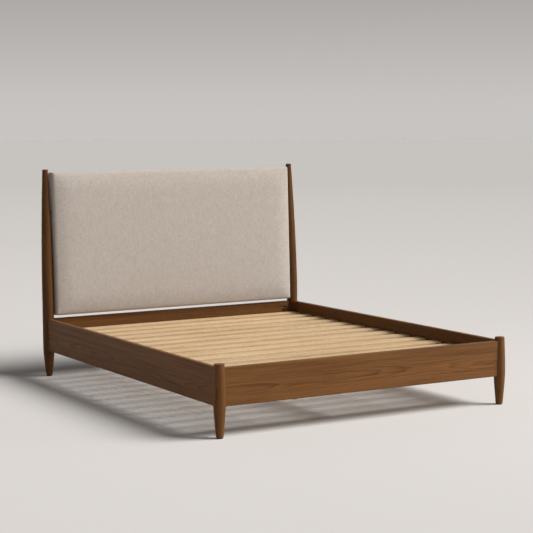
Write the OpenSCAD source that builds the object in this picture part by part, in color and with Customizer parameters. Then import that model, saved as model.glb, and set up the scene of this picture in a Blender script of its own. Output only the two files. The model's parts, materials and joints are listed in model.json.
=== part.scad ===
// Platform bed frame: four turned posts, four rail boards, an upholstered headboard panel,
// a slatted mattress platform and a centre beam on two adjustable legs.
// Millimetres. +X is right and +Y is the head end, seen from the foot. The floor is z = 0.

/* [Mattress] */
// Width of the mattress
mattress_w = 1600; // [1400:50:1800]
// Length of the mattress
mattress_l = 2000; // [1900:50:2100]
// Free space left around the mattress
mattress_gap = 10; // [8:1:20]
// Depth of the recess, from the rails' top edge down to the slats
recess_depth = 64; // [50:2:76]

/* [Rails] */
// Height of a rail board
rail_h = 184; // [176:2:200]
// Thickness of a rail board
rail_t = 28; // [26:1:30]
// Height of the rails' lower edge above the floor
rail_z = 150; // [130:5:180]

/* [Posts] */
// Largest radius of a foot post
post_r = 30; // [30:1:32]
// Largest radius of a headboard post
head_post_r = 33; // [31:1:36]
// Radius of a post where it meets the floor
foot_r = 18; // [16:1:22]
// How far a foot post stands above the rails
post_rise = 18; // [12:2:40]
// Height of a headboard post
head_post_h = 1195; // [1150:5:1250]
// Radius of a headboard post at its tip
tip_r = 16.5; // [15:0.5:20]
// Backward rake of the headboard, in degrees
rake = 2; // [1:0.5:3]
// Inward lean of the headboard posts, in degrees
lean = 0.6; // [0.4:0.1:0.8]

/* [Headboard panel] */
// Height of the panel's top edge above the floor
panel_top = 1178; // [1126:4:1194]
// Gap between the rails' top edge and the panel's lower edge
panel_gap = 18; // [6:2:40]
// Radius of the padded front edges
panel_edge_r = 22; // [14:1:23]

/* [Platform] */
// Width of a slat
slat_w = 80; // [70:5:90]
// Thickness of a slat
slat_t = 20; // [18:1:22]

/* [Hidden] */
$fn = 96;
fit = 0.1;                 // play around a housed joint
running = 0.05;            // radial play of a rod in its hole
over = 1;                  // how far a cutter runs past a face

// Rails and their places
rail_face = 15;            // post axis to a rail's outer face
rail_edge_r = 3;
rail_in = rail_t - rail_face;          // post axis to a rail's inner face
rail_mid = rail_t / 2 - rail_face;     // post axis to a rail's mid thickness
rail_top = rail_z + rail_h;
foot_post_h = rail_top + post_rise;
seat = 18;                 // post axis to a rail's housed end
post_x = mattress_w / 2 + mattress_gap + rail_in;
post_seg = 14;             // steps along each turned curve

// Headboard panel, in the raked frame whose origin is on the posts' bend
bend_z = 450;              // height at which the headboard posts start to rake
bend_swell = 0.2;          // how much wider the raked part is than the upright part at the bend
bend_lap = 6;              // length of the raked part's ramp inside the upright part
panel_w = 2 * (post_x - head_post_r - 2);
panel_front = 42;          // post axis to the padded face
panel_back = 26;           // post axis to the hem on the back
panel_corner_r = 12;
cover_t = 1.5;
cloth_t = 1;
cloth_inset = 10;          // back cloth's edge inside the panel's outline
foam_t = 25;
board_t = 6;
hem_w = 40;                // how far the cover folds over the back
panel_lo = (rail_top + panel_gap - bend_z) / cos(rake);
panel_hi = (panel_top - bend_z) / cos(rake);
core_w = panel_w - 2 * cover_t;
core_lo = panel_lo + cover_t;
core_hi = panel_hi - cover_t;
core_front = cover_t - panel_front;
foam_back = core_front + foam_t;
board_back = foam_back + board_t;
core_back = panel_back - cover_t;
stile_w = 60;
mullion_w = 45;
mullion_x = 250;
frame_mid_y = (board_back + core_back) / 2;

// Where the bed lies: its outline is centred on the origin
panel_lead = panel_front * cos(rake) - panel_lo * sin(rake);
back_reach = (panel_back + cloth_t) * cos(rake) + (panel_hi - cloth_inset) * sin(rake);
post_pitch = rail_in + mattress_l + 2 * mattress_gap + panel_lead;
foot_y = (post_r - post_pitch - back_reach) / 2;
head_y = foot_y + post_pitch;

// Studs that hold the rails in the posts, with a washer and nut in a pocket of the rail
stud_r = 4;
stud_in = 30;              // length of a stud inside the post
stud_out = 58;             // length of a stud inside the rail
pocket_r = 15;
pocket_x = 48;             // rail's end to the pocket's centre
pocket_depth = 22;
washer_flat = 5;           // pocket's centre to the washer's flat
washer_t = 14;
nut_r = 7.5;
nut_h = 6.5;
cross_stud_z = [rail_z + 45, rail_top - 45];
side_stud_z = [rail_z + 24, rail_top - 24];

// Studs that hold the panel between the posts
panel_stud_y = 8;
panel_stud_z = [100, 500];
panel_stud_in = 28;
panel_pocket_r = 11;
panel_pocket_shift = 4;    // post axis to the pocket's centre
spacer_r = 8;
spacer_l = 8;

// Platform
slat_n = 14;
slat_z = rail_top - recess_depth - slat_t;
slat_edge_r = 2.5;
slat_clear = 2;            // slat end to a side rail
slat_l = 2 * (post_x - rail_in - slat_clear);
slat_margin = 34;          // post axis to the first slat
slat_pitch = (post_pitch - 2 * slat_margin - slat_w) / (slat_n - 1);
ledger_h = 28;
ledger_t = 22;
ledger_z = slat_z - ledger_h;
ledger_l = post_pitch - 2 * slat_margin;
ledger_screw_n = 7;
web_w = 25;
web_t = 1.2;
web_x = 400;

// Centre beam, its hangers and its legs
beam_w = 45;
beam_h = 68;
beam_z = slat_z - beam_h;
plate_t = 3;
hanger_w = 104;
hanger_h = 76;
hanger_reach = 45;
hanger_play = 0.2;
leg_plate_t = 2.5;
leg_z = 26;                // height of a centre leg's lower end
leg_top_r = 22;
leg_foot_r = 17;
leg_y = [foot_y + post_pitch / 3, foot_y + 2 * post_pitch / 3];
glide_t = 4;
pad_r = 18;
pad_t = 8;

ENDS = ["foot_end", "head_end"];
function slat_name(i) = str("slat_", i < 10 ? "0" : "", i);

// ---- Shared shapes ----

// Points of an arc about [cx, cy], from angle a0 to a1
function arc(cx, cy, r, a0, a1, n = 5) =
    [for (i = [0 : n]) let (a = a0 + (a1 - a0) * i / n) [cx + r * cos(a), cy + r * sin(a)]];

// Points [radius, height] of a turned curve that leaves radius r0 at z0 and eases to r1 at z1
function turned(r0, z0, r1, z1, power) =
    [for (i = [1 : post_seg]) let (t = i / post_seg) [r0 + (r1 - r0) * pow(t, power), z0 + (z1 - z0) * t]];

function reversed(list) = [for (i = [len(list) - 1 : -1 : 0]) list[i]];

// A rectangle with rounded corners, one corner at the origin
module rounded_rect(w, h, r) {
    translate([r, 0]) square([w - 2 * r, h]);
    translate([0, r]) square([w, h - 2 * r]);
    for (x = [r, w - r], y = [r, h - r])
        translate([x, y]) circle(r, $fn = 32);
}

// A board along +X whose section is w along Y and h along Z
module board(l, w, h, r) {
    rotate([90, 0, 90])
        linear_extrude(l) rounded_rect(w, h, r);
}

// A rod along +X
module rod_x(r, l) {
    rotate([0, 90, 0]) cylinder(r = r, h = l, $fn = 48);
}

// Swaps the X and Y directions
module swap_xy() {
    mirror([1, -1, 0]) children();
}

module flip(x, y) {
    if (x && y) rotate([0, 0, 180]) children();
    else if (x) mirror([1, 0, 0]) children();
    else if (y) mirror([0, 1, 0]) children();
    else children();
}

// A post's own frame: X and Y point inwards along the cross rail and the side rail
module at_post(side, end) {
    translate([side * post_x, end < 0 ? foot_y : head_y, 0])
        flip(side > 0, end > 0) children();
}

// The joints of the foot rail and crossrail, then of the side rails. X runs into the rail
// from its housed end, and Y points to the rail's inner face
module at_cross_joints(ends = [-1, 1]) {
    for (side = [-1, 1], end = ends, z = cross_stud_z)
        at_post(side, end) translate([seat, rail_mid, z]) children();
}

module at_side_joints(sides = [-1, 1]) {
    for (side = sides, end = [-1, 1], z = side_stud_z)
        at_post(side, end) swap_xy() translate([seat, rail_mid, z]) children();
}

// A countersunk wood screw that points along +Z, its head's face at z = 0
module screw_body(l, r, head_r, play = 0) {
    head_h = head_r - r;
    rotate_extrude($fn = 32)
        polygon([[0, -play], [head_r + play, -play], [head_r + play, 0.5], [r + play, 0.5 + head_h],
                 [r + play, l - 3], [0, l]]);
}

module wood_screw(l, r = 2, head_r = 4.2) {
    slot_w = 1.1;
    slot_l = 4.6;
    difference() {
        screw_body(l, r, head_r);
        for (a = [0, 90])
            rotate([0, 0, a]) translate([-slot_l / 2, -slot_w / 2, -over])
                cube([slot_l, slot_w, over + 1.8]);
    }
}

module screw_hole(l, r = 2, head_r = 4.2) {
    screw_body(l, r, head_r, running);
}

// ---- Posts ----

// Radius and height points of a post's tapered lower end, from the knee down to the glide
knee_z = rail_z + 12;
function foot_points(r) = concat([[0, glide_t], [foot_r - 1.5, glide_t]],
                                 reversed(turned(r, knee_z, foot_r, glide_t + 1.5, 1.25)));

module foot_post_body() {
    cap_r = 25;
    cap_edge = 4;
    rotate_extrude()
        polygon(concat(foot_points(post_r), [[post_r, knee_z]],
                       turned(post_r, knee_z, cap_r, foot_post_h - cap_edge, 2),
                       arc(cap_r - cap_edge, foot_post_h - cap_edge, cap_edge, 15, 90),
                       [[0, foot_post_h]]));
}

// The raked part of a headboard post. Its lower end ramps out of the upright part at the bend
module spindle() {
    spindle_l = (head_post_h - bend_z) / cos(rake);
    tip_edge = 4;
    bend_r = head_post_r + bend_swell;
    rotate_extrude()
        polygon(concat([[0, -bend_lap], [bend_r - bend_lap / 4, -bend_lap], [bend_r, 0]],
                       turned(bend_r, 0, tip_r, spindle_l - tip_edge, 2),
                       arc(tip_r - tip_edge, spindle_l - tip_edge, tip_edge, 15, 90),
                       [[0, spindle_l]]));
}

// Housings for the two rails that meet in a post, and the holes for their studs
module rail_housings() {
    rail_housing(cross_stud_z);
    swap_xy() rail_housing(side_stud_z);
}

module rail_housing(stud_z) {
    translate([seat, -rail_face - fit, rail_z - fit])
        cube([head_post_r, rail_t + 2 * fit, rail_h + 2 * fit]);
    for (z = stud_z)
        translate([seat - stud_in, rail_mid, z]) rod_x(stud_r + running, stud_in + over);
}

module foot_post(side) {
    color("#7a4f30")
        at_post(side, -1) difference() {
            foot_post_body();
            rail_housings();
        }
}

module headboard_post(side) {
    color("#7a4f30") difference() {
        union() {
            translate([side * post_x, head_y, 0]) rotate_extrude()
                polygon(concat(foot_points(head_post_r),
                               [[head_post_r, knee_z], [head_post_r, bend_z],
                                [head_post_r - 2, bend_z + 2], [0, bend_z + 2]]));
            raked() translate([side * post_x, 0, 0]) rotate([0, -side * lean, 0]) spindle();
        }
        at_post(side, 1) rail_housings();
        at_panel_joints([side]) panel_joint_cuts();
    }
}

// ---- Rails ----

module rail_joint_cuts() {
    translate([-over, 0, 0]) rod_x(stud_r + 0.5, pocket_x + over);
    translate([pocket_x, rail_t / 2 - pocket_depth, 0]) rotate([-90, 0, 0])
        cylinder(r = pocket_r, h = pocket_depth + over);
}

module cross_rail(end) {
    l = 2 * (post_x - seat);
    color("#7a4f30") difference() {
        translate([0, end < 0 ? foot_y : head_y, 0]) flip(false, end > 0)
            translate([-l / 2, -rail_face, rail_z]) board(l, rail_t, rail_h, rail_edge_r);
        at_cross_joints([end]) rail_joint_cuts();
        at_hanger(end) hanger_screws() screw_hole(20);
    }
}

module side_rail(side) {
    color("#7a4f30") difference() {
        at_post(side, -1) swap_xy()
            translate([seat, -rail_face, rail_z])
                board(post_pitch - 2 * seat, rail_t, rail_h, rail_edge_r);
        at_side_joints([side]) rail_joint_cuts();
        at_ledger_screws(side) screw_hole(37);
    }
}

module rail_studs() {
    color("silver") {
        at_cross_joints() joint_stud(stud_in, stud_out);
        at_side_joints() joint_stud(stud_in, stud_out);
    }
}

module joint_stud(l_in, l_out) {
    translate([-l_in, 0, 0]) rod_x(stud_r, l_in + l_out);
}

// A washer with one flat side and one round side that fits the wall of a pocket of radius r.
// Its flat is at x = 0 and the pocket's centre at x = flat
module half_moon_washer(r, flat) {
    difference() {
        intersection() {
            translate([flat, -washer_t / 2, 0]) rotate([-90, 0, 0])
                cylinder(r = r - fit, h = washer_t);
            translate([-r, -washer_t, -r]) cube([r, 2 * washer_t, 2 * r]);
        }
        translate([-r, 0, 0]) rod_x(stud_r + 0.4, 2 * r);
    }
}

module hex_nut() {
    difference() {
        rotate([0, 90, 0]) cylinder(r = nut_r, h = nut_h, $fn = 6);
        translate([-over, 0, 0]) rod_x(stud_r + running, nut_h + 2 * over);
    }
}

module rail_washers() {
    color("silver") {
        at_cross_joints() translate([pocket_x - washer_flat, 0, 0]) half_moon_washer(pocket_r, washer_flat);
        at_side_joints() translate([pocket_x - washer_flat, 0, 0]) half_moon_washer(pocket_r, washer_flat);
    }
}

module rail_nuts() {
    color("silver") {
        at_cross_joints() translate([pocket_x - washer_flat, 0, 0]) hex_nut();
        at_side_joints() translate([pocket_x - washer_flat, 0, 0]) hex_nut();
    }
}

// ---- Headboard panel ----

module raked() {
    translate([0, head_y, bend_z]) rotate([-rake, 0, 0]) children();
}

// A padded block: round front edges of radius r, and corners of radius corner_r seen from the front
module padded_block(w, lo, hi, front, back, r, corner_r) {
    depth = back - front;
    intersection() {
        translate([-w / 2, back, lo]) rotate([90, 0, 0])
            linear_extrude(depth) rounded_rect(w, hi - lo, corner_r);
        translate([-w / 2, front, lo]) rotate([90, 0, 90])
            linear_extrude(w) front_rounded(depth, hi - lo, r);
        translate([0, front, lo]) linear_extrude(hi - lo)
            rotate([0, 0, 90]) translate([0, -w / 2]) front_rounded(depth, w, r);
    }
}

// A rectangle d deep and h high whose two corners at x = 0 are rounded
module front_rounded(d, h, r) {
    translate([r, 0]) square([d - r, h]);
    translate([0, r]) square([r, h - 2 * r]);
    for (y = [r, h - r]) translate([r, y]) circle(r);
}

module panel_core() {
    padded_block(core_w, core_lo, core_hi, core_front, core_back,
                 panel_edge_r - cover_t, panel_corner_r - cover_t);
}

// The part of the panel's core between two depths, cut to x0..x1 and z0..z1
module core_part(x0, x1, y0, y1, z0, z1) {
    intersection() {
        panel_core();
        translate([x0, y0, z0]) cube([x1 - x0, y1 - y0, z1 - z0]);
    }
}

module panel_cover() {
    color("#c3b8a9") raked() difference() {
        padded_block(panel_w, panel_lo, panel_hi, -panel_front, panel_back, panel_edge_r, panel_corner_r);
        panel_core();
        translate([-panel_w / 2 + hem_w, 0, panel_lo + hem_w])
            cube([panel_w - 2 * hem_w, panel_front + panel_back, panel_hi - panel_lo - 2 * hem_w]);
        panel_stud_holes(stud_r + 0.3);
    }
}

module panel_foam() {
    color("#efe3b4") raked()
        core_part(-core_w, core_w, core_front - over, foam_back, core_lo - over, core_hi + over);
}

module panel_face_board() {
    color("#d9b98a") raked()
        core_part(-core_w, core_w, foam_back, board_back, core_lo - over, core_hi + over);
}

module panel_stile(side) {
    x0 = core_w / 2 - stile_w;
    color("#d8b786") raked() difference() {
        flip(side < 0, false)
            core_part(x0, core_w, board_back, core_back + over, core_lo - over, core_hi + over);
        panel_stud_holes(stud_r + running);
        frame_dowels(running);
    }
}

module panel_rail(z) {
    w = core_w / 2 - stile_w;
    color("#d8b786") raked() difference() {
        core_part(-w, w, board_back, core_back + over, z, z + stile_w);
        frame_dowels(running);
    }
}

module panel_mullions() {
    color("#d8b786") raked() difference() {
        for (side = [-1, 1])
            translate([side * mullion_x - mullion_w / 2, board_back, core_lo + stile_w])
                cube([mullion_w, core_back - board_back, core_hi - core_lo - 2 * stile_w]);
        frame_dowels(running);
    }
}

// Dowels between the stiles and rails, and between the rails and mullions
module frame_dowels(play = 0) {
    r = 4;
    half_l = 24;
    for (side = [-1, 1], edge = [core_lo + stile_w / 2, core_hi - stile_w / 2], z = [-12, 12])
        translate([side * (core_w / 2 - stile_w) - half_l - play, frame_mid_y, edge + z])
            rod_x(r + play, 2 * (half_l + play));
    for (side = [-1, 1], z = [core_lo + stile_w, core_hi - stile_w])
        translate([side * mullion_x, frame_mid_y, z - half_l - play])
            cylinder(r = r + play, h = 2 * (half_l + play), $fn = 48);
}

module panel_frame_dowels() {
    color("#e2c79a") raked() frame_dowels();
}

module panel_back_cloth() {
    color("#3a3836") raked()
        translate([-panel_w / 2 + cloth_inset, panel_back, panel_lo + cloth_inset])
            cube([panel_w - 2 * cloth_inset, cloth_t, panel_hi - panel_lo - 2 * cloth_inset]);
}

// Joints between the panel and its posts. X runs from the post into the panel, and its
// origin is on the panel's side face
module at_panel_joints(sides = [-1, 1]) {
    for (side = sides, z = panel_stud_z)
        raked() flip(side > 0, false)
            translate([-panel_w / 2, panel_stud_y, z]) {
                $joint_z = z;
                children();
            }
}

// Side face of the panel to the centre of a stud's pocket in the post
function pocket_reach(z) = post_x - z * tan(lean) + panel_pocket_shift - panel_w / 2;

module panel_stud_holes(r) {
    for (side = [-1, 1], z = panel_stud_z)
        flip(side > 0, false)
            translate([-panel_w / 2 - over, panel_stud_y, z]) rod_x(r, panel_stud_in + over);
}

// The stud's hole, the seat of the spacer and the pocket in the back of a post
module panel_joint_cuts() {
    reach = pocket_reach($joint_z);
    translate([-reach, 0, 0]) rod_x(stud_r + 0.4, reach + over);
    translate([-spacer_l, 0, 0]) rod_x(spacer_r + 0.6, spacer_l + 2 * over);
    translate([-reach, -panel_stud_y, 0]) rotate([-90, 0, 0])
        cylinder(r = panel_pocket_r, h = 2 * head_post_r);
}

module panel_studs() {
    tip = 5;               // pocket's centre to the stud's end
    color("silver") at_panel_joints()
        joint_stud(pocket_reach($joint_z) + tip, panel_stud_in);
}

module panel_spacers() {
    color("#2f2f2f") at_panel_joints() difference() {
        translate([-spacer_l, 0, 0]) rod_x(spacer_r, spacer_l);
        translate([-spacer_l - over, 0, 0]) rod_x(stud_r + 0.3, spacer_l + 2 * over);
    }
}

module panel_washers() {
    color("silver") at_panel_joints()
        translate([washer_flat - pocket_reach($joint_z), 0, 0]) flip(true, false)
            half_moon_washer(panel_pocket_r, washer_flat);
}

module panel_nuts() {
    color("silver") at_panel_joints()
        translate([washer_flat - pocket_reach($joint_z), 0, 0]) flip(true, false) hex_nut();
}

// ---- Slatted platform ----

module ledger(side) {
    color("#dcc096") difference() {
        at_post(side, -1) swap_xy() translate([slat_margin, rail_in, ledger_z])
            board(ledger_l, ledger_t, ledger_h, slat_edge_r);
        at_ledger_screws(side) screw_hole(37);
        slat_screw_sites() screw_hole(38);
    }
}

// Screws through a ledger into its side rail, pointing outwards
module at_ledger_screws(side) {
    for (i = [0 : ledger_screw_n - 1])
        translate([side * (post_x - rail_in - ledger_t),
                   foot_y + slat_margin + (i + 0.5) * ledger_l / ledger_screw_n,
                   ledger_z + ledger_h / 2])
            rotate([0, side * 90, 0]) children();
}

module ledger_screws() {
    color("silver") for (side = [-1, 1])
        at_ledger_screws(side) wood_screw(37);
}

module slat(i) {
    y = foot_y + slat_margin + (i - 1) * slat_pitch;
    color("#e3c9a1") difference() {
        translate([-slat_l / 2, y, slat_z]) board(slat_l, slat_w, slat_t, slat_edge_r);
        slat_screw_sites() screw_hole(38);
    }
}

// Screws that hold the first and last slats, pointing down
module slat_screw_sites() {
    for (x = [-1, 0, 1], i = [0, slat_n - 1])
        translate([x * (post_x - rail_in - ledger_t / 2),
                   foot_y + slat_margin + slat_w / 2 + i * slat_pitch, slat_z + slat_t])
            rotate([180, 0, 0]) children();
}

module slat_screws() {
    color("silver") slat_screw_sites() wood_screw(38);
}

module slat_webbing() {
    color("#d9d4c8") for (side = [-1, 1])
        translate([side * web_x - web_w / 2, foot_y + slat_margin, slat_z - web_t])
            cube([web_w, ledger_l, web_t]);
}

// ---- Centre beam ----

module centre_beam() {
    start = rail_in + plate_t + hanger_play;
    color("#dcc096") difference() {
        translate([-beam_w / 2, foot_y + start, beam_z]) mirror([1, -1, 0])
            board(post_pitch - 2 * start, beam_w, beam_h, slat_edge_r);
        slat_screw_sites() screw_hole(38);
        for (y = leg_y) translate([0, y, 0]) {
            translate([0, 0, beam_z - over]) cylinder(r = stud_r + running, h = over + 26);
            leg_plate_screw_sites() screw_hole(20);
        }
    }
}

// A hanger's own frame: X across the bed, Y from the rail's inner face into the bed
module at_hanger(end) {
    translate([0, end < 0 ? foot_y : head_y, 0]) flip(false, end > 0)
        translate([0, rail_in, 0]) children();
}

module hanger_screws() {
    for (x = [-1, 1], z = [-1, 1])
        translate([x * 39, plate_t, beam_z + 26 + z * 22]) rotate([90, 0, 0]) children();
}

module beam_hanger(end) {
    half_w = beam_w / 2 + hanger_play;
    low = beam_z - plate_t;
    color("#4a4a4c") at_hanger(end) difference() {
        union() {
            translate([-hanger_w / 2, 0, beam_z - 12]) cube([hanger_w, plate_t, hanger_h]);
            for (x = [-half_w - plate_t, half_w])
                translate([x, 0, low]) cube([plate_t, hanger_reach, 56]);
            translate([-half_w - plate_t, 0, low]) cube([2 * (half_w + plate_t), hanger_reach, plate_t]);
        }
        hanger_screws() screw_hole(20);
    }
}

module beam_hanger_screws() {
    color("silver") for (end = [-1, 1])
        at_hanger(end) hanger_screws() wood_screw(20);
}

// ---- Centre legs ----

module leg_plate_screw_sites() {
    for (x = [-14, 14], y = [-31, 31])
        translate([x, y, beam_z - leg_plate_t]) children();
}

module leg_plates() {
    color("#4a4a4c") for (y = leg_y) translate([0, y, 0]) difference() {
        translate([-beam_w / 2, -40, beam_z - leg_plate_t]) cube([beam_w, 80, leg_plate_t]);
        translate([0, 0, beam_z - leg_plate_t - over])
            cylinder(r = stud_r + running, h = leg_plate_t + 2 * over);
        leg_plate_screw_sites() screw_hole(20);
    }
}

module leg_plate_screws() {
    color("silver") for (y = leg_y)
        translate([0, y, 0]) leg_plate_screw_sites() wood_screw(20);
}

module leg_studs() {
    color("silver") for (y = leg_y)
        translate([0, y, beam_z - leg_plate_t - 40]) cylinder(r = stud_r, h = 40 + leg_plate_t + 24, $fn = 48);
}

module centre_leg(i) {
    top = beam_z - leg_plate_t;
    edge = 2;
    color("#dcc096") translate([0, leg_y[i], 0]) difference() {
        rotate_extrude()
            polygon([[0, leg_z], [leg_foot_r - edge, leg_z], [leg_foot_r, leg_z + edge],
                     [leg_top_r, top - edge], [leg_top_r - edge, top], [0, top]]);
        translate([0, 0, top - 42]) cylinder(r = stud_r + running, h = 42 + over, $fn = 48);
        translate([0, 0, leg_z - over]) cylinder(r = 5, h = 52 + over, $fn = 48);
        translate([0, 0, leg_z - over]) cylinder(r = 5.5 + running, h = 10.5 + over, $fn = 48);
    }
}

// A tee nut in each centre leg's lower end, in which the leveller's stem turns
module leg_tee_nuts() {
    color("silver") for (y = leg_y) translate([0, y, leg_z]) difference() {
        union() {
            translate([0, 0, -1.5]) cylinder(r = 11, h = 1.5, $fn = 48);
            cylinder(r = 5.5, h = 10, $fn = 48);
        }
        translate([0, 0, -over - 1.5]) cylinder(r = stud_r + running, h = 14, $fn = 48);
    }
}

module leveller_stem(i) {
    color("silver") translate([0, leg_y[i], 0]) {
        translate([0, 0, pad_t / 2]) cylinder(r = stud_r, h = 50, $fn = 48);
        translate([0, 0, pad_t + 0.2]) cylinder(r = nut_r, h = 4, $fn = 6);
    }
}

module leveller_pad(i) {
    edge = 1.5;
    color("#262626") translate([0, leg_y[i], 0]) difference() {
        rotate_extrude()
            polygon([[0, 0], [pad_r - edge, 0], [pad_r, edge], [pad_r, pad_t / 2],
                     [pad_r / 2 + edge, pad_t], [0, pad_t]]);
        translate([0, 0, pad_t / 2]) cylinder(r = stud_r + running, h = pad_t, $fn = 48);
    }
}

module post_glides() {
    color("#3b2c22") for (side = [-1, 1], end = [-1, 1])
        at_post(side, end) cylinder(r = foot_r - 2, h = glide_t);
}

// ---- Nodes ----

headboard_post(-1);  // headboard_post_left
headboard_post(1);  // headboard_post_right
cross_rail(1);  // headboard_crossrail
panel_stile(-1);  // panel_stile_left
panel_stile(1);  // panel_stile_right
panel_rail(core_hi - stile_w);  // panel_top_rail
panel_rail(core_lo);  // panel_bottom_rail
panel_mullions();
panel_frame_dowels();
panel_face_board();
panel_foam();
panel_cover();
panel_back_cloth();
panel_studs();
panel_spacers();
panel_washers();  // panel_half_moon_washers
panel_nuts();
side_rail(-1);  // side_rail_left
side_rail(1);  // side_rail_right
cross_rail(-1);  // foot_rail
foot_post(-1);  // foot_post_left
foot_post(1);  // foot_post_right
rail_studs();
rail_washers();  // rail_half_moon_washers
rail_nuts();
ledger(-1);  // ledger_left
ledger(1);  // ledger_right
ledger_screws();
centre_beam();
beam_hanger(-1);  // beam_hanger_foot_end
beam_hanger(1);  // beam_hanger_head_end
beam_hanger_screws();
leg_plates();
leg_plate_screws();
leg_studs();
leg_tee_nuts();
for (i = [0, 1]) {
    centre_leg(i);
    leveller_stem(i);
    leveller_pad(i);
}
post_glides();
for (i = [1 : slat_n])
    slat(i);
slat_webbing();
slat_screws();
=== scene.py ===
"""The looks of the bed frame: walnut posts and rails, a linen headboard panel, slats and hardware."""

import json
import math
import random

import bpy
from mathutils import Matrix, Vector, noise


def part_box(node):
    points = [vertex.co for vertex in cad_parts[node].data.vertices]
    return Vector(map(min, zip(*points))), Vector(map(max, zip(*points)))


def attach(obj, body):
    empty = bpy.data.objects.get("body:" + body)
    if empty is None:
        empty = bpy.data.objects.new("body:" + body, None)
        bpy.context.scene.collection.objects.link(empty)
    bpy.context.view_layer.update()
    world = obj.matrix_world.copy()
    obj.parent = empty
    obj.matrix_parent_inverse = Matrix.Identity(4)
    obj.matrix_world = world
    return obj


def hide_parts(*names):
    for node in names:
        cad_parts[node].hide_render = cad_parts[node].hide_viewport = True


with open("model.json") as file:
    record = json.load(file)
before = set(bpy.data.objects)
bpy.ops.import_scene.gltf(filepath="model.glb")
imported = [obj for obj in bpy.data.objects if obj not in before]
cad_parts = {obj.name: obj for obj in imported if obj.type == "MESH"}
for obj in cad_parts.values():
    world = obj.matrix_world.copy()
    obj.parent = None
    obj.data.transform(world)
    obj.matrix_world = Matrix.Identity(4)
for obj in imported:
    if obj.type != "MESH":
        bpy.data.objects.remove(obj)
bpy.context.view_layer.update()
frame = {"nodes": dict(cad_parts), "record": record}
nodes = frame["nodes"]
FRAME_BODY = "bed_frame"
# The panel's own frame, in which the headboard panel stands upright
RAKE = math.radians(2)
PANEL = Matrix.Translation((0, 1.02817, 0.45)) @ Matrix.Rotation(-RAKE, 4, "X")


# ---- Camera, floor and light ----

# The camera's bearing, height angle and roll in degrees, its place in metres, its lens and sensor in mm
CAMERA_ANGLES = (-30.08, 5.54, -0.34)
CAMERA_PLACE = (-4.212, -7.345, 1.497)
CAMERA_LENS = 105.2
CAMERA_SENSOR = 36
# The floor's painted light: its colour near the bed and far off, and how many metres away the fade starts
# and ends
FLOOR_NEAR = (0.588, 0.567, 0.552)
FLOOR_MID = (0.535, 0.515, 0.501)
FLOOR_FAR = (0.482, 0.465, 0.452)
FLOOR_SPAN = (2.0, 26.0)
# The backdrop's colour, along the sine of its elevation
SKY = [(0.0, (0.578, 0.554, 0.535)), (0.013, (0.563, 0.539, 0.520)), (0.075, (0.413, 0.396, 0.381)),
       (0.30, (0.22, 0.212, 0.206)), (1.0, (0.15, 0.148, 0.146))]


def make_camera():
    """Stands well beyond the foot end, to its left and about 1.5 m up, with a long lens."""
    azimuth, elevation, roll = (math.radians(angle) for angle in CAMERA_ANGLES)
    back = Vector((math.sin(azimuth) * math.cos(elevation),
                   -math.cos(azimuth) * math.cos(elevation), math.sin(elevation)))
    right = Vector((math.cos(azimuth), math.sin(azimuth), 0))
    turned = Matrix.Rotation(roll, 3, back)
    right = turned @ right
    up = back.cross(right)
    data = bpy.data.cameras.new("camera")
    data.sensor_width = CAMERA_SENSOR
    data.lens = CAMERA_LENS
    camera = bpy.data.objects.new("camera", data)
    camera.matrix_world = Matrix((right, up, back)).transposed().to_4x4()
    camera.location = CAMERA_PLACE
    bpy.context.scene.collection.objects.link(camera)
    bpy.context.scene.camera = camera


def make_stage():
    """A pale round floor that runs on towards the horizon, painted lighter near the bed and darker far off.
    """
    radii = (1, 3, 6, 12, 25, 50, 90)
    around = 64
    verts = [(0, 0, 0)]
    faces = [(0, 1 + j, 1 + (j + 1) % around) for j in range(around)]
    for r in radii:
        verts += [(r * math.cos(math.tau * j / around), r * math.sin(math.tau * j / around), 0)
                  for j in range(around)]
    for i in range(len(radii) - 1):
        a = 1 + i * around
        b = a + around
        faces += [(a + j, b + j, b + (j + 1) % around, a + (j + 1) % around) for j in range(around)]
    floor = mesh_object("stage_floor", verts, faces)
    mat, shader = new_material("stage_paper")
    g = Graph(mat)
    x, y, _ = g.place()
    away = g.math("SQRT", g.math("ADD", g.math("MULTIPLY", x, x), g.math("MULTIPLY", y, y)))
    # Painted light: the floor is lighter near the bed and fades darker far off
    colours = [(0.0, FLOOR_NEAR), (0.35, FLOOR_MID), (1.0, FLOOR_FAR)]
    g.put(g.ramp(g.span(away, *FLOOR_SPAN), colours), shader.inputs["Base Color"])
    shader.inputs["Roughness"].default_value = 1.0
    shader.inputs["Specular IOR Level"].default_value = 0.0
    floor.data.materials.append(mat)


def sun_light(name, source, strength, width, colour):
    """Parallel light from the direction of a source, which is that many degrees wide."""
    data = bpy.data.lights.new(name, "SUN")
    data.energy = strength
    data.angle = math.radians(width)
    data.color = colour
    lamp = bpy.data.objects.new(name, data)
    lamp.rotation_mode = "QUATERNION"
    lamp.rotation_quaternion = Vector(source).to_track_quat("Z", "Y")
    bpy.context.scene.collection.objects.link(lamp)


def area_light(name, place, aim, size, power):
    """White light from a rectangle that faces a point and isn't itself in view."""
    data = bpy.data.lights.new(name, "AREA")
    data.shape = "RECTANGLE"
    data.size, data.size_y = size
    data.energy = power
    lamp = bpy.data.objects.new(name, data)
    lamp.location = place
    lamp.rotation_mode = "QUATERNION"
    lamp.rotation_quaternion = (Vector(aim) - Vector(place)).to_track_quat("-Z", "Y")
    lamp.visible_camera = False
    bpy.context.scene.collection.objects.link(lamp)


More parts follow.
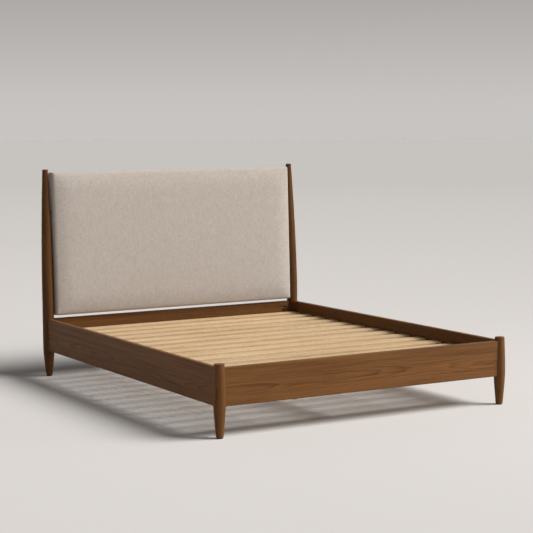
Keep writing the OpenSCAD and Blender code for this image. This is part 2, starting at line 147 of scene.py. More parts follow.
def make_lights():
    sun_light("key_light", source=(0.605, -0.385, 0.697), strength=4.5, width=34, colour=(1.0, 0.99, 0.975))
    area_light("side_light", place=(3.6, -3.4, 1.2), aim=(0, 0, 0.6), size=(2.2, 1.6), power=58)
    world = bpy.data.worlds.new("studio")
    world.use_nodes = True
    g = Graph(world)
    direction = g.add("ShaderNodeTexCoord").outputs["Generated"]
    height = g.add("ShaderNodeSeparateXYZ", {0: direction}).outputs[2]
    g.put(g.ramp(height, SKY), world.node_tree.nodes["Background"].inputs["Color"])
    bpy.context.scene.world = world
    bpy.context.scene.view_settings.view_transform = "Standard"


# ---- Mesh helpers ----

def mesh_object(name, verts, faces, smooth=True):
    mesh = bpy.data.meshes.new(name)
    mesh.from_pydata([tuple(v) for v in verts], [], faces)
    mesh.validate()
    mesh.update()
    if smooth:
        mesh.shade_smooth()
    piece = bpy.data.objects.new(name, mesh)
    bpy.context.scene.collection.objects.link(piece)
    return piece


def apply_modifiers(piece):
    """Puts what a piece's modifiers make into its mesh."""
    graph = bpy.context.evaluated_depsgraph_get()
    made = bpy.data.meshes.new_from_object(piece.evaluated_get(graph))
    piece.modifiers.clear()
    piece.data = made


# ---- Materials ----

def new_material(name):
    mat = bpy.data.materials.new(name)
    mat.use_nodes = True
    return mat, mat.node_tree.nodes["Principled BSDF"]


class Graph:
    """Short calls that add shader nodes to a material and link them."""

    def __init__(self, mat):
        self.tree = mat.node_tree

    def add(self, kind, inputs=None, **settings):
        made = self.tree.nodes.new(kind)
        for key, value in settings.items():
            setattr(made, key, value)
        for key, value in (inputs or {}).items():
            self.put(value, made.inputs[key])
        return made

    def put(self, value, socket):
        if isinstance(value, bpy.types.NodeSocket):
            self.tree.links.new(value, socket)
        else:
            socket.default_value = value

    def math(self, operation, a, b=0.0):
        return self.add("ShaderNodeMath", {0: a, 1: b}, operation=operation).outputs[0]

    def place(self):
        """The point in the row frame, in metres, as x, y and z."""
        point = self.add("ShaderNodeTexCoord").outputs["Object"]
        split = self.add("ShaderNodeSeparateXYZ", {0: point})
        return split.outputs[0], split.outputs[1], split.outputs[2]

    def vector(self, x, y, z, scale=(1, 1, 1), move=(0, 0, 0)):
        joined = self.add("ShaderNodeCombineXYZ", {0: x, 1: y, 2: z}).outputs[0]
        return self.add("ShaderNodeMapping", {0: joined, "Scale": scale, "Location": move}).outputs[0]

    def noise(self, vector, scale=1.0, detail=2.0, rough=0.5):
        return self.add("ShaderNodeTexNoise", {"Vector": vector, "Scale": scale, "Detail": detail,
                                               "Roughness": rough}).outputs[0]

    def ramp(self, value, stops):
        """Colours along a value: stops are (position, colour)."""
        made = self.add("ShaderNodeValToRGB", {0: value})
        ramp = made.color_ramp
        while len(ramp.elements) < len(stops):
            ramp.elements.new(0.5)
        for element, (position, colour) in zip(ramp.elements, stops):
            element.position = position
            element.color = (*colour, 1)
        return made.outputs[0]

    def span(self, value, low, high, to_low=0.0, to_high=1.0):
        """A value's place between low and high, carried over to other limits and held within them."""
        return self.add("ShaderNodeMapRange", {0: value, 1: low, 2: high, 3: to_low, 4: to_high}).outputs[0]

    def mix(self, kind, share, a, b):
        """Colour a blended with colour b, to the extent of share."""
        made = self.add("ShaderNodeMix", data_type="RGBA", blend_type=kind)
        self.put(share, made.inputs[0])
        self.put(a, made.inputs[6])
        self.put(b, made.inputs[7])
        return made.outputs[2]

    def bump(self, height, distance):
        """A normal for relief that is distance metres deep."""
        return self.add("ShaderNodeBump", {"Height": height, "Distance": distance,
                                           "Strength": 1.0}).outputs[0]


# The woods' patterns, in cycles per metre along the grain and across it
SWAY = (1.1, 2.0)
RIPPLE = (5, 45)
STREAKS = (1.9, 60)
FIBRES = (16, 900)
CLOUDS = (1.2, 7)
PORES = (46, 1250)
KNOTS = (1.1, 8.0)
# How many metres the heart of the log wanders to either side, and by how many rings the ripple shifts them
WANDER = 0.034
RIPPLE_RINGS = 1.3
# What late wood, streaks and single fibres add to a wood's tone
LATE_SHARE = 0.30
STREAK_SHARE = 0.80
FIBRE_SHARE = 0.24
# What pores multiply a wood's colour by, and the colour that knots have
PORE_COLOUR = (0.42, 0.36, 0.32, 1)
KNOT_COLOUR = (0.27, 0.13, 0.055, 1)
WOOD_RELIEF = 0.00012


def wood(name, box, ramp, ring, pith, seed, pores=0.5, gloss=(0.4, 0.52), knots=False):
    """Solid wood, sawn from a log whose fibres run along the longest side of a board's box.

    ramp holds the colours from early to late wood and ring the rings' spacing in metres. pith is how far
    the heart of the log lies from the board's centre, across the two short sides. pores is how dark the
    pores are, from 0 to 1, and gloss the roughness from the palest to the darkest wood.
    """
    mat, shader = new_material(name)
    g = Graph(mat)
    low, high = box
    grain = max(range(3), key=lambda i: high[i] - low[i])
    middle = [(low[i] + high[i]) / 2 for i in range(3)]
    place = [g.math("SUBTRACT", value, middle[i]) for i, value in enumerate(g.place())]
    along, across, deep = place[grain], place[(grain + 1) % 3], place[(grain + 2) % 3]
    # Every board takes its patterns from a place of its own
    shift = (seed * 3.7, seed * 1.3, seed * 2.1)
    turned_shift = (shift[1], shift[2], shift[0])

    def pattern(cycles, detail, offset=shift, rough=0.5):
        """Noise with so many cycles per metre along the grain and across it."""
        lengthwise, crosswise = cycles
        stretched = g.vector(along, across, deep, (lengthwise, crosswise, crosswise), offset)
        return g.noise(stretched, detail=detail, rough=rough)

    # Rings are counted from the heart of the log, which wanders along the board
    offsets = []
    for value, heart, offset in ((across, pith[0], shift), (deep, pith[1], turned_shift)):
        sway = pattern(SWAY, 1.5, offset)
        offsets.append(g.math("ADD", value, g.span(sway, 0, 1, heart - WANDER, heart + WANDER)))
    radius = g.math("SQRT", g.math("ADD", g.math("MULTIPLY", offsets[0], offsets[0]),
                                   g.math("MULTIPLY", offsets[1], offsets[1])))
    ripple = pattern(RIPPLE, 3.0)
    phase = g.math("ADD", g.math("DIVIDE", radius, ring), g.math("MULTIPLY", ripple, RIPPLE_RINGS))
    # Each ring darkens slowly towards its late wood and ends sharply
    saw = g.math("FRACT", phase)
    late = g.math("MULTIPLY", g.math("POWER", saw, 1.9), g.span(saw, 0.9, 1.0, 1.0, 0.0))

    # The colour is picked by the rings, by streaks and by single fibres, and drifts over the board
    streak = pattern(STREAKS, 4.0, turned_shift, 0.62)
    fibre = pattern(FIBRES, 2.0)
    tone = g.math("ADD", g.math("MULTIPLY", late, LATE_SHARE), g.math("MULTIPLY", streak, STREAK_SHARE))
    tone = g.math("ADD", tone, g.math("MULTIPLY", g.math("SUBTRACT", fibre, 0.5), FIBRE_SHARE))
    colour = g.ramp(g.span(tone, 0.27, 0.80), ramp)
    cloud = pattern(CLOUDS, 2.0)
    drift = g.ramp(cloud, [(0.3, (0.92, 0.91, 0.90)), (0.7, (1.05, 1.04, 1.03))])
    colour = g.mix("MULTIPLY", 1.0, colour, drift)

    # Pores are short dark dashes, mostly in the early wood
    pore = pattern(PORES, 1.0)
    pore = g.math("MULTIPLY", g.span(pore, 0.6, 0.72), g.span(late, 0.0, 0.5, 1.0, 0.55))
    colour = g.mix("MULTIPLY", g.math("MULTIPLY", pore, pores), colour, PORE_COLOUR)
    if knots:
        sparse = g.vector(along, across, deep, (KNOTS[0], KNOTS[1], KNOTS[1]), shift)
        spots = g.add("ShaderNodeTexVoronoi", {"Vector": sparse, "Scale": 1.0}).outputs["Distance"]
        knot = g.span(spots, 0.05, 0.09, 1.0, 0.0)
        colour = g.mix("MIX", g.math("MULTIPLY", knot, 0.7), colour, KNOT_COLOUR)
    g.put(colour, shader.inputs["Base Color"])
    g.put(g.span(tone, 0.2, 0.9, gloss[0], gloss[1]), shader.inputs["Roughness"])
    shader.inputs["Specular IOR Level"].default_value = 0.1
    relief = g.math("ADD", g.math("MULTIPLY", fibre, 0.35), g.math("MULTIPLY", pore, -0.8))
    g.put(g.bump(relief, WOOD_RELIEF), shader.inputs["Normal"])
    return mat


# The woods' colours, from early to late wood
WALNUT = [(0.0, (0.183, 0.0825, 0.0265)), (0.35, (0.149, 0.0635, 0.0195)),
          (0.68, (0.116, 0.0475, 0.0139)), (1.0, (0.067, 0.0263, 0.0076))]
PINE = [(0.0, (0.63, 0.475, 0.30)), (0.45, (0.555, 0.395, 0.23)),
        (0.75, (0.47, 0.305, 0.16)), (1.0, (0.36, 0.205, 0.094))]
BIRCH = [(0.0, (0.70, 0.55, 0.39)), (0.5, (0.64, 0.48, 0.32)), (1.0, (0.54, 0.38, 0.23))]
# The spacing of each wood's rings, in metres
WALNUT_RING = 0.0058
PINE_RING = 0.0036
BEECH_RING = 0.004
PLY_RING = 0.02
# Where the heart of the log lies from a board's centre, in metres across its two short sides
POST_PITH = (0.045, 0.03)
RAIL_PITH = {"foot_rail": (0.075, 0.012), "headboard_crossrail": (-0.08, 0.02),
             "side_rail_left": (0.018, 0.072), "side_rail_right": (-0.02, -0.08)}
# Painted shade: the posts' walnut keeps only this share of its brightness, the headboard posts least
POST_PAINTED_SHADE = {"headboard_post": 0.67, "foot_post": 0.91}


def beech(node, seed):
    return wood("beech_" + node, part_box(node), BIRCH, BEECH_RING, (0.05, 0.02), seed, pores=0.3,
                gloss=(0.5, 0.6))


def plywood(node, seed):
    return wood("plywood_" + node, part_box(node), BIRCH, PLY_RING, (0.3, 0.05), seed, pores=0.1,
                gloss=(0.5, 0.6))


def walnut(node, seed):
    pith = RAIL_PITH.get(node, POST_PITH)
    shade = next((share for kind, share in POST_PAINTED_SHADE.items() if kind in node), 1.0)
    # The posts' colours are darkened by their painted shade
    ramp = [(place, tuple(channel * shade for channel in colour)) for place, colour in WALNUT]
    return wood("walnut_" + node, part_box(node), ramp, WALNUT_RING, pith, seed)


def pine(node, seed):
    chance = random.Random(seed)
    pith = (chance.uniform(0.02, 0.09), chance.uniform(-0.09, 0.09))
    return wood("pine_" + node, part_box(node), PINE, PINE_RING, pith, seed, pores=0.1,
                gloss=(0.5, 0.62), knots=True)


# The linen's colours, from its thinnest to its thickest yarns
LINEN_DARK = (0.405, 0.358, 0.319)
LINEN = (0.463, 0.413, 0.370)
LINEN_LIGHT = (0.517, 0.466, 0.421)
# The distance between yarns, in metres
YARN_PITCH = 0.00115
# Patterns in cycles per metre: how yarns waver and how their slubs lie, across a set of yarns and along it
WAVER = (70, 11, 11)
SLUBS = (760, 42, 42)
BLOTCHES = 21.0
LINEN_RELIEF = 0.0002


def linen():
    """Oatmeal upholstery: crossing sets of uneven yarns with slubs, in the panel's own frame."""
    mat, shader = new_material("oatmeal_linen")
    g = Graph(mat)
    point = g.add("ShaderNodeTexCoord").outputs["Object"]
    local = g.add("ShaderNodeMapping", {"Vector": point, "Location": PANEL.to_translation(),
                                        "Rotation": PANEL.to_euler()}, vector_type="TEXTURE").outputs[0]
    split = g.add("ShaderNodeSeparateXYZ", {0: local})
    facing = g.add("ShaderNodeSeparateXYZ", {0: g.add("ShaderNodeNewGeometry").outputs["Normal"]})
    axes = [split.outputs[i] for i in range(3)]

    def yarns(axis, seed):
        """Ridges of one set of yarns, flat where the surface faces along the axis, and their slubs."""
        value = axes[axis]
        others = [axes[i] for i in range(3) if i != axis]
        across = g.math("ABSOLUTE", facing.outputs[axis])
        shown = g.span(across, 0.55, 0.85, 1.0, 0.0)
        waver = g.noise(g.vector(value, *others, WAVER, (seed, seed, 0)), detail=2.0)
        phase = g.math("MULTIPLY", value, math.tau / YARN_PITCH)
        phase = g.math("ADD", phase, g.math("MULTIPLY", waver, 5.0))
        ridge = g.math("MULTIPLY", g.span(g.math("SINE", phase), -1, 1), shown)
        slub = g.noise(g.vector(value, *others, SLUBS, (seed, 0, seed)), detail=2.0, rough=0.55)
        slub = g.math("MULTIPLY", g.math("SUBTRACT", slub, 0.5), shown)
        return ridge, slub

    sets = [yarns(axis, seed) for axis, seed in ((0, 3.1), (1, 5.3), (2, 7.7))]
    height = g.math("MAXIMUM", g.math("MAXIMUM", sets[0][0], sets[1][0]), sets[2][0])
    crossing = g.math("MULTIPLY", g.math("SUBTRACT", sets[0][0], 0.5), g.math("SUBTRACT", sets[2][0], 0.5))
    slubs = g.math("ADD", g.math("ADD", sets[0][1], sets[1][1]), sets[2][1])
    height = g.math("ADD", height, g.math("MULTIPLY", crossing, 0.8))
    height = g.math("ADD", height, g.math("MULTIPLY", slubs, 0.8))

    colour = g.ramp(g.span(slubs, -0.24, 0.24), [(0.0, LINEN_DARK), (0.5, LINEN), (1.0, LINEN_LIGHT)])
    blotch = g.noise(local, BLOTCHES, detail=4.0, rough=0.6)
    drift = g.ramp(blotch, [(0.3, (0.97, 0.965, 0.96)), (0.7, (1.02, 1.02, 1.02))])
    colour = g.mix("MULTIPLY", 1.0, colour, drift)
    # Painted shade: the gaps between the yarns are darker, as less light comes back out of them
    gap = g.span(height, 0.5, 1.1, 0.86, 1.0)
    gap_shade_colour = g.add("ShaderNodeCombineColor", {0: gap, 1: gap, 2: gap}).outputs[0]
    colour = g.mix("MULTIPLY", 1.0, colour, gap_shade_colour)
    g.put(colour, shader.inputs["Base Color"])
    shader.inputs["Roughness"].default_value = 0.88
    shader.inputs["Specular IOR Level"].default_value = 0.2
    shader.inputs["Sheen Weight"].default_value = 0.4
    shader.inputs["Sheen Roughness"].default_value = 0.45
    shader.inputs["Sheen Tint"].default_value = (0.95, 0.92, 0.88, 1)
    g.put(g.bump(height, LINEN_RELIEF), shader.inputs["Normal"])
    return mat


def cloth(name, dark, light, thread, bump=0.0001, sheen=0.2):
    """A plain fine fabric with its own thread pitch, in metres."""
    mat, shader = new_material(name)
    g = Graph(mat)
    x, y, z = g.place()
    fine = g.noise(g.vector(x, y, z), 1 / thread, detail=2.0)
    soft = g.noise(g.vector(x, y, z), 14.0, detail=3.0)
    value = g.math("ADD", g.math("MULTIPLY", fine, 0.7), g.math("MULTIPLY", soft, 0.3))
    g.put(g.ramp(g.span(value, 0.34, 0.66), [(0.0, dark), (1.0, light)]), shader.inputs["Base Color"])
    shader.inputs["Roughness"].default_value = 0.93
    shader.inputs["Specular IOR Level"].default_value = 0.2
    shader.inputs["Sheen Weight"].default_value = sheen
    g.put(g.bump(fine, bump), shader.inputs["Normal"])
    return mat


def webbing_weave():
    """Cotton webbing, ribbed across its width, in unbleached colours, with painted shade in the grooves
    between the ribs.
    """
    mat, shader = new_material("webbing_weave")
    g = Graph(mat)
    x, y, z = g.place()
    rib_pitch = 0.0016
    warp_pitch = 0.0012
    ribs = g.span(g.math("SINE", g.math("MULTIPLY", y, math.tau / rib_pitch)), -1, 1)
    ends = g.span(g.math("SINE", g.math("MULTIPLY", x, math.tau / warp_pitch)), -1, 1)
    height = g.math("MULTIPLY", ribs, g.math("ADD", g.math("MULTIPLY", ends, 0.5), 0.5))
    dirt = g.noise(g.vector(x, y, z), 60.0, detail=3.0)
    # Painted shade: the colour is darker where the weave lies low, and also varies at random
    colour = g.ramp(g.math("ADD", g.math("MULTIPLY", height, 0.6), g.math("MULTIPLY", dirt, 0.4)),
                    [(0.1, (0.40, 0.37, 0.31)), (0.8, (0.70, 0.66, 0.58))])
    g.put(colour, shader.inputs["Base Color"])
    shader.inputs["Roughness"].default_value = 0.9
    g.put(g.bump(height, 0.00025), shader.inputs["Normal"])
    return mat


def metal(name, dark, light, rough=(0.28, 0.42), metallic=1.0, grain=900.0, bump=0.00002):
    """Metal, powder coat or moulded plastic: two tones in patches, over a fine grain in cycles per metre."""
    mat, shader = new_material(name)
    g = Graph(mat)
    x, y, z = g.place()
    fine = g.noise(g.vector(x, y, z), grain, detail=2.0)
    patch = g.noise(g.vector(x, y, z), 55.0, detail=3.0)
    g.put(g.ramp(patch, [(0.35, dark), (0.65, light)]), shader.inputs["Base Color"])
    shader.inputs["Metallic"].default_value = metallic
    g.put(g.span(patch, 0.3, 0.7, *rough), shader.inputs["Roughness"])
    g.put(g.bump(fine, bump), shader.inputs["Normal"])
    return mat


def foam():
    """Yellow open-cell foam, with painted shade in the hollows of its cells."""
    mat, shader = new_material("open_cell_foam")
    g = Graph(mat)
    x, y, z = g.place()
    cells = g.add("ShaderNodeTexVoronoi", {"Vector": g.vector(x, y, z), "Scale": 700.0}).outputs["Distance"]
    # Painted shade: each cell is darker towards its hollow middle
    g.put(g.ramp(cells, [(0.1, (0.52, 0.44, 0.22)), (0.6, (0.85, 0.77, 0.48))]), shader.inputs["Base Color"])
    shader.inputs["Roughness"].default_value = 0.95
    g.put(g.bump(cells, 0.0003), shader.inputs["Normal"])
    return mat


def make_finishes():
    """The materials that aren't wood, by the record's material slot."""
    return {"linen": linen(),
            "dust_cloth": cloth("black_non_woven", (0.012, 0.012, 0.012), (0.045, 0.043, 0.041),
                                thread=0.0012),
            "felt": cloth("brown_felt", (0.020, 0.013, 0.009), (0.070, 0.046, 0.032),
                          thread=0.0009, bump=0.0004, sheen=0.5),
            "webbing": webbing_weave(),
            "zinc_steel": metal("zinc_plated_steel", (0.50, 0.50, 0.48), (0.68, 0.68, 0.66)),
            "black_steel": metal("black_powder_coat", (0.022, 0.022, 0.023), (0.034, 0.034, 0.035),
                                 rough=(0.42, 0.52), metallic=0.0, grain=1600.0, bump=0.00006),
            "black_plastic": metal("black_moulded_plastic", (0.018, 0.018, 0.018), (0.030, 0.030, 0.030),
                                   rough=(0.45, 0.6), metallic=0.0, grain=2400.0, bump=0.00005),
            "foam": foam()}


WOODS = {"walnut": walnut, "pine": pine, "slat_pine": pine, "beech": beech, "plywood": plywood}


def finish_nodes(finishes):
    """Gives every CAD node the material of its slot in the record."""
    for seed, part in enumerate(frame["record"]["subparts"], 1):
        name, key = part["node"], part["material_slot"]
        mat = WOODS[key](name, seed) if key in WOODS else finishes[key]
        nodes[name].data.materials.clear()
        nodes[name].data.materials.append(mat)


# ---- Soft pieces and fastenings ----

def panel_box(node):
    """A node's lowest and highest corners in the panel's own frame."""
    points = [PANEL.inverted() @ v.co for v in nodes[node].data.vertices]
    return [Vector([pick(p[i] for p in points) for i in range(3)]) for pick in (min, max)]


def edge_spaced(low, high, fine, coarse, zone):
    """Positions from low to high, close together near both ends."""
    steps, at = [0.0], 0.0
    while at < zone:
        at += fine + (coarse - fine) * at / zone
        steps.append(at)
    inner = max(1, round((high - low - 2 * at) / coarse))
    middle = [low + at + (high - low - 2 * at) * i / inner for i in range(1, inner)]
    return [low + step for step in steps] + middle + [high - step for step in reversed(steps)]


def block_mesh(xs, ys, zs):
    """Points and faces of a block's surface, on the lattice of the given positions."""
    index, verts, faces = {}, [], []

    def at(i, j, k):
        if (i, j, k) not in index:
            index[(i, j, k)] = len(verts)
            verts.append(Vector((xs[i], ys[j], zs[k])))
        return index[(i, j, k)]

    nx, ny, nz = len(xs) - 1, len(ys) - 1, len(zs) - 1
    for i in range(nx):
        for k in range(nz):
            faces.append((at(i, 0, k), at(i + 1, 0, k), at(i + 1, 0, k + 1), at(i, 0, k + 1)))
            faces.append((at(i, ny, k), at(i, ny, k + 1), at(i + 1, ny, k + 1), at(i + 1, ny, k)))
        for j in range(ny):
            faces.append((at(i, j, 0), at(i, j + 1, 0), at(i + 1, j + 1, 0), at(i + 1, j, 0)))
            faces.append((at(i, j, nz), at(i + 1, j, nz), at(i + 1, j + 1, nz), at(i, j + 1, nz)))
    for j in range(ny):
        for k in range(nz):
            faces.append((at(0, j, k), at(0, j, k + 1), at(0, j + 1, k + 1), at(0, j + 1, k)))
            faces.append((at(nx, j, k), at(nx, j + 1, k), at(nx, j + 1, k + 1), at(nx, j, k + 1)))
    return verts, faces


def on_disc(a, b, r):
    """Moves a point on the border of the square r around the origin to the circle of radius r."""
    far = max(abs(a), abs(b))
    length = math.hypot(a, b)
    return (a * far / length, b * far / length) if length else (0.0, 0.0)


def soften_block(verts, low, high, corner_r, front_r, back_r):
    """Rounds a block's upright corners, then the edges round its front and its back."""
    for v in verts:
        side = [(1 if v[i] > (low[i] + high[i]) / 2 else -1) for i in (0, 2)]
        edge = [(high[i] if s > 0 else low[i]) for i, s in zip((0, 2), side)]
        inset = [(edge[0] - v.x) * side[0], (edge[1] - v.z) * side[1]]
        if max(inset) < corner_r:
            a, b = on_disc(corner_r - inset[0], corner_r - inset[1], corner_r)
            distance = math.hypot(a, b)
            inwards = (-side[0] * a / distance, -side[1] * b / distance) if distance else (0.0, 0.0)
            v.x, v.z = edge[0] - side[0] * (corner_r - a), edge[1] - side[1] * (corner_r - b)
            depth_in = corner_r - distance
        else:
            nearest = 0 if inset[0] < inset[1] else 1
            inwards = (-side[0], 0.0) if nearest == 0 else (0.0, -side[1])
            depth_in = inset[nearest]
        for r, from_face, sign in ((front_r, v.y - low[1], 1), (back_r, high[1] - v.y, -1)):
            if depth_in < r and from_face < r:
                a, b = on_disc(r - depth_in, r - from_face, r)
                move = (r - a) - depth_in
                v.x += inwards[0] * move
                v.z += inwards[1] * move
                v.y = low[1] + (r - b) if sign > 0 else high[1] - (r - b)
                break


# The cloth simulation: its length in frames, the cloth's stiffness, and each point's mass in kilograms
CLOTH_FRAMES = 20
CLOTH_STIFFNESS = 40
CLOTH_SHEAR = 20
CLOTH_BENDING = 3
CLOTH_MASS = 0.3
# The swelling, as a share of its greatest height, at which the kept shape starts to level off
LEVEL_OFF = 0.8


def swell(piece, held, pressure, rise):
    """Blows a closed cloth up from inside, and keeps the shape of the swelling but not its size.

    Points only move outwards, towards a height that levels off at rise.
    """
    scene = bpy.context.scene
    piece.vertex_groups.new(name="held")
    for index, weight in enumerate(held):
        if weight > 0:
            piece.vertex_groups["held"].add([index], weight, "REPLACE")
    start = [v.co.copy() for v in piece.data.vertices]
    normals = [v.normal.copy() for v in piece.data.vertices]
    settings = piece.modifiers.new("cloth", "CLOTH").settings
    settings.quality = 5
    settings.mass = CLOTH_MASS
    settings.tension_stiffness = CLOTH_STIFFNESS
    settings.compression_stiffness = CLOTH_STIFFNESS
    settings.shear_stiffness = CLOTH_SHEAR
    settings.bending_stiffness = CLOTH_BENDING
    settings.vertex_group_mass = "held"
    settings.use_pressure = True
    settings.uniform_pressure_force = pressure
    settings.effector_weights.gravity = 0
    scene.frame_start = 1
    scene.frame_end = CLOTH_FRAMES
    for number in range(1, CLOTH_FRAMES + 1):
        scene.frame_set(number)
    apply_modifiers(piece)
    moved = [max(0.0, (v.co - place).dot(normal))
             for v, place, normal in zip(piece.data.vertices, start, normals)]
    full = LEVEL_OFF * max(moved)
    for v, place, normal, out in zip(piece.data.vertices, start, normals, moved):
        v.co = place + normal * rise * math.tanh(out / full)
    piece.vertex_groups.clear()
    scene.frame_set(1)


# How far the panel's front stands out in its middle before it swells, and its border's width and bend
CROWN = 0.017
CROWN_WIDTH = 0.12
CROWN_BEND = 2.6
# The radii of the cover's upright corners and of the edges round its front and its back
CORNER_R = 0.012
FRONT_R = 0.013
BACK_R = 0.003
# Behind the front face, where the cloth starts to be held, and over what depth the hold grows
HELD_FROM = 0.02
HELD_OVER = 0.03
# The lapped folds: how wide they are, how thick, and how far behind the front face they start
LAP_WIDTH = 0.017
LAP_RISE = 0.0011
LAP_FROM = 0.022
# The faint hollows of the front: their depth, and how far behind the front face they fade out
HOLLOW = 0.0005
HOLLOW_FADE = 0.02


def clamped(value):
    return min(1.0, max(0.0, value))


def make_cover(finishes):
    """The linen over the panel's foam: tight, fullest in the middle, with a lapped fold at each corner."""
    low, high = panel_box("panel_cover")
    xs = edge_spaced(low.x, high.x, fine=0.004, coarse=0.02, zone=0.07)
    zs = edge_spaced(low.z, high.z, fine=0.004, coarse=0.02, zone=0.07)
    layers = 14
    ys = [low.y + (high.y - low.y) * i / layers for i in range(layers + 1)]
    verts, faces = block_mesh(xs, ys, zs)
    soften_block(verts, low, high, CORNER_R, FRONT_R, BACK_R)
    for v in verts:
        rims = [min(v[i] - low[i], high[i] - v[i]) / CROWN_WIDTH for i in (0, 2)]
        fullness = [1 - max(0.0, 1 - max(0.0, rim)) ** CROWN_BEND for rim in rims]
        nearness = (high.y - v.y) / (high.y - low.y)
        v.y -= CROWN * fullness[0] * fullness[1] * nearness
    piece = mesh_object("linen_cover", verts, faces)
    held = [clamped((v.y - low.y - HELD_FROM) / HELD_OVER) for v in verts]
    swell(piece, held, pressure=3.0, rise=0.0035)
    near = 0.004
    for v in piece.data.vertices:
        x, y, z = v.co
        front = clamped(1 - (y - low.y) / HOLLOW_FADE)
        broad = noise.noise(Vector((x * 4.2, 3.0, z * 4.2)))
        narrow = noise.noise(Vector((x * 17, 9.0, z * 17)))
        v.co.y += front * HOLLOW * (broad + 0.35 * narrow)
        # The fold's extra layer lies near the ends of the top and the bottom
        on_side = clamped((y - low.y - LAP_FROM) / 0.01)
        if z > high.z - near or z < low.z + near:
            lap = clamped((abs(x) - high.x + LAP_WIDTH) / near)
            v.co.z += (1 if z > 0 else -1) * LAP_RISE * lap * on_side
    smooth = piece.modifiers.new("smooth", "SUBSURF")
    smooth.levels = smooth.render_levels = 1
    apply_modifiers(piece)
    piece.data.transform(PANEL)
    piece.data.shade_smooth()
    piece.data.materials.append(finishes["linen"])
    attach(piece, FRAME_BODY)
    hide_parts("panel_cover")


def staple_points(place, across, out, crown=0.010, wire=0.0011, rise=0.0007):
    """Points and faces of one staple's crown: a flat wire that turns down at both ends."""
    along = out.cross(across).normalized()
    sunk = 0.002
    bend = 0.0008
    outline = [(-crown / 2, -sunk), (-crown / 2, rise * 0.5), (-crown / 2 + bend, rise),
               (crown / 2 - bend, rise), (crown / 2, rise * 0.5), (crown / 2, -sunk)]
    section = [(-wire / 2, 0), (wire / 2, 0), (wire / 2, -wire * 0.6), (-wire / 2, -wire * 0.6)]
    verts = []
    for a, b in outline:
        for width, thick in section:
            inner = a * 0.86 if thick else a
            lift = b + (thick if abs(a) < crown / 2 else 0)
            verts.append(place + across * inner + along * width + out * lift)
    faces = [(0, 1, 2, 3), tuple(len(verts) - 1 - i for i in range(4))]
    for i in range(len(outline) - 1):
        faces += [(4 * i + j, 4 * i + 4 + j, 4 * i + 4 + (j + 1) % 4, 4 * i + (j + 1) % 4) for j in range(4)]
    return verts, faces


def joined(name, chunks):
    """One object from several lists of points and faces."""
    verts, faces = [], []
    for more, their_faces in chunks:
        faces += [tuple(len(verts) + i for i in face) for face in their_faces]
        verts += more
    return mesh_object(name, verts, faces, smooth=False)


def make_dust_cloth(finishes):
    """The black cloth stapled over the panel's back, its edges folded under and drawn in at the staples."""
    low, high = panel_box("panel_back_cloth")
    hem = 0.014
    hem_rise = 0.0006
    pitch = 0.07
    border = 0.02
    wave = 0.0012
    draw = 0.0009
    ripple = 0.0004
    xs = edge_spaced(low.x, high.x, fine=0.0035, coarse=0.016, zone=0.05)
    zs = edge_spaced(low.z, high.z, fine=0.0035, coarse=0.016, zone=0.05)
    verts, faces = block_mesh(xs, [low.y, high.y], zs)
    chance = random.Random(11)
    counts = (round((high.x - low.x) / pitch), round((high.z - low.z) / pitch))
    step = ((high.x - low.x) / counts[0], (high.z - low.z) / counts[1])
    for v in verts:
        inset = min(v.x - low.x, high.x - v.x, v.z - low.z, high.z - v.z)
        outer = v.y > (low.y + high.y) / 2
        wavy = wave * noise.noise(Vector((v.x * 9, v.z * 9, 4.0)))
        pull = draw * math.cos(math.tau * (v.x - low.x) / step[0])
        pull *= math.cos(math.tau * (v.z - low.z) / step[1])
        if inset < border:
            edge = (1 - inset / border) * (wavy + pull)
            v.x += edge if v.x > 0 else -edge
            v.z += edge if v.z > (low.z + high.z) / 2 else -edge
        if outer:
            fold = hem_rise if inset < hem else 0.0
            v.y += fold + ripple * noise.noise(Vector((v.x * 5, 2.0, v.z * 5))) - ripple / 2
        else:
            v.y += 0.00005
    piece = mesh_object("dust_cloth_sheet", verts, faces)
    piece.data.transform(PANEL)
    piece.data.materials.append(finishes["dust_cloth"])

    # Staples along all four edges, each a little out of place and a little turned
    staples = []
    top = high.y + 0.0004
    margin = 0.008
    stray = 0.006
    skew = 0.18
    for i in range(counts[0]):
        x = low.x + (i + 0.5) * step[0] + chance.uniform(-stray, stray)
        for z in (low.z + margin, high.z - margin):
            staples.append((Vector((x, top, z)), chance.uniform(-skew, skew)))
    for i in range(1, counts[1] - 1):
        z = low.z + (i + 0.5) * step[1] + chance.uniform(-stray, stray)
        for x in (low.x + margin, high.x - margin):
            staples.append((Vector((x, top, z)), math.pi / 2 + chance.uniform(-skew, skew)))
    chunks = [staple_points(place, Vector((math.cos(turn), 0, math.sin(turn))), Vector((0, 1, 0)))
              for place, turn in staples]
    wires = joined("dust_cloth_staples", chunks)
    wires.data.transform(PANEL)
    wires.data.materials.append(finishes["zinc_steel"])
    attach(wires, FRAME_BODY)
    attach(piece, FRAME_BODY)
    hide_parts("panel_back_cloth")


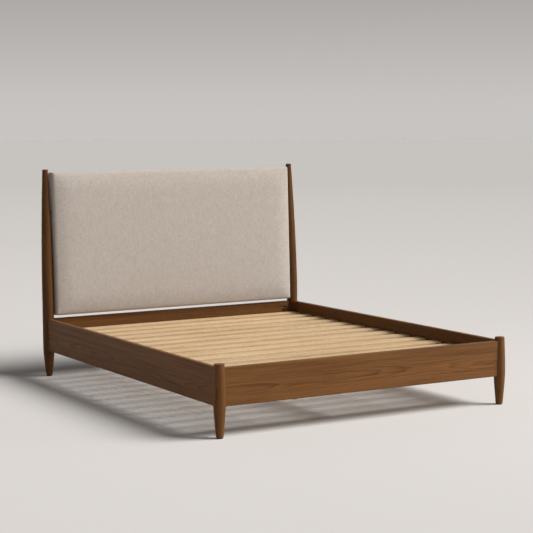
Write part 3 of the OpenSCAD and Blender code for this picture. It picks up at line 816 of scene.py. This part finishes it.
def make_webbing(finishes):
    """Two straps stapled under the slats, each sagging a little from slat to slat."""
    low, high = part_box("slat_webbing")
    width = 0.025
    sag = 0.0016
    skew = 0.15
    steps = 6
    slats = [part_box(name) for name in sorted(nodes) if name[:6] in ("slat_0", "slat_1")]
    stops = sorted({round(corner.y, 6) for pair in slats for corner in pair})
    ys = []
    for a, b in zip(stops, stops[1:]):
        ys += [a + (b - a) * i / steps for i in range(steps)]
    ys.append(stops[-1])
    covered = [(pair[0].y, pair[1].y) for pair in slats]
    staples = []
    chance = random.Random(5)
    for side, start in (("left", low.x), ("right", high.x - width)):
        xs = [start + width * i / steps for i in range(steps + 1)]
        verts, faces = block_mesh(xs, ys, [low.z, high.z])
        for v in verts:
            gap = next(((a, b) for (_, a), (b, _) in zip(covered, covered[1:]) if a < v.y < b), None)
            if gap:
                share = (v.y - gap[0]) / (gap[1] - gap[0])
                v.z -= sag * 4 * share * (1 - share)
            v.z += 0.00015 * noise.noise(Vector((v.x * 80, v.y * 30, 1.0))) - 0.00015
        strap = mesh_object("webbing_" + side, verts, faces)
        strap.data.materials.append(finishes["webbing"])
        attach(strap, FRAME_BODY)
        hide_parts("slat_webbing")
        for a, b in covered:
            for share in (0.3, 0.7):
                place = Vector((start + width / 2, a + (b - a) * share, low.z - 0.0002))
                turn = chance.uniform(-skew, skew)
                across = Vector((math.cos(turn), math.sin(turn), 0))
                staples.append(staple_points(place, across, out=Vector((0, 0, -1))))
    wires = joined("webbing_staples", staples)
    wires.data.materials.append(finishes["zinc_steel"])
    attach(wires, FRAME_BODY)


def on_circle(middle, radius, angle, z):
    return Vector((middle.x + radius * math.cos(angle), middle.y + radius * math.sin(angle), z))


def threaded_rod(middle, low, high, r, pitch):
    """Points and faces of an upright rod with a right-handed thread and tapered ends."""
    around = 24
    rings_a_turn = 6
    rings = round((high - low) / pitch * rings_a_turn)
    depth = 0.6 * pitch
    verts, faces = [], []
    for i in range(rings + 1):
        z = low + (high - low) * i / rings
        end = min(z - low, high - z)
        for j in range(around):
            turn = ((z - low) / pitch - j / around) % 1
            radius = min(r - depth * abs(2 * turn - 1), r - depth + end)
            angle = math.tau * j / around
            verts.append(on_circle(middle, radius, angle, z))
    for i in range(rings):
        a = i * around
        b = a + around
        faces += [(a + j, a + (j + 1) % around, b + (j + 1) % around, b + j) for j in range(around)]
    faces.append(tuple(reversed(range(around))))
    faces.append(tuple(rings * around + j for j in range(around)))
    return verts, faces


def hexagon_nut(middle, low, high, corner_r, bore_r):
    """Points and faces of an upright hexagon whose corners are turned off at both ends."""
    around = 48
    side = math.pi / 3
    flat_r = corner_r * math.cos(side / 2)
    face_r = flat_r * 0.97
    slope = math.tan(math.pi / 6)
    verts, faces = [], []
    for j in range(around):
        angle = math.tau * j / around
        edge_r = flat_r / math.cos(angle % side - side / 2)
        drop = (edge_r - face_r) * slope
        for radius, z in ((bore_r, low), (face_r, low), (edge_r, low + drop),
                          (edge_r, high - drop), (face_r, high), (bore_r, high)):
            verts.append(on_circle(middle, radius, angle, z))
        a, b = 6 * j, 6 * ((j + 1) % around)
        faces += [(a + i, b + i, b + i + 1, a + i + 1) for i in range(5)]
    return verts, faces


def make_levellers(finishes):
    """The centre legs' levelling screws: a threaded stem with a hexagon to turn it by."""
    for end in ("foot_end", "head_end"):
        node = "leveller_stem_" + end
        low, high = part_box(node)
        middle = (low + high) / 2
        rod = threaded_rod(middle, low.z, high.z, r=0.004, pitch=0.00125)
        # The stem starts halfway up its pad, and the hexagon sits just above the pad
        gap = 0.0002
        height = 0.004
        nut_low = 2 * low.z + gap
        nut = hexagon_nut(middle, nut_low, nut_low + height, corner_r=(high.x - low.x) / 2, bore_r=0.003)
        piece = joined("leveller_screw_" + end, [rod, nut])
        piece.data.materials.append(finishes["zinc_steel"])
        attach(piece, "screw_" + end)
        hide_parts(node)


make_camera()
make_stage()
make_lights()
finishes = make_finishes()
finish_nodes(finishes)
make_cover(finishes)
make_dust_cloth(finishes)
make_webbing(finishes)
make_levellers(finishes)
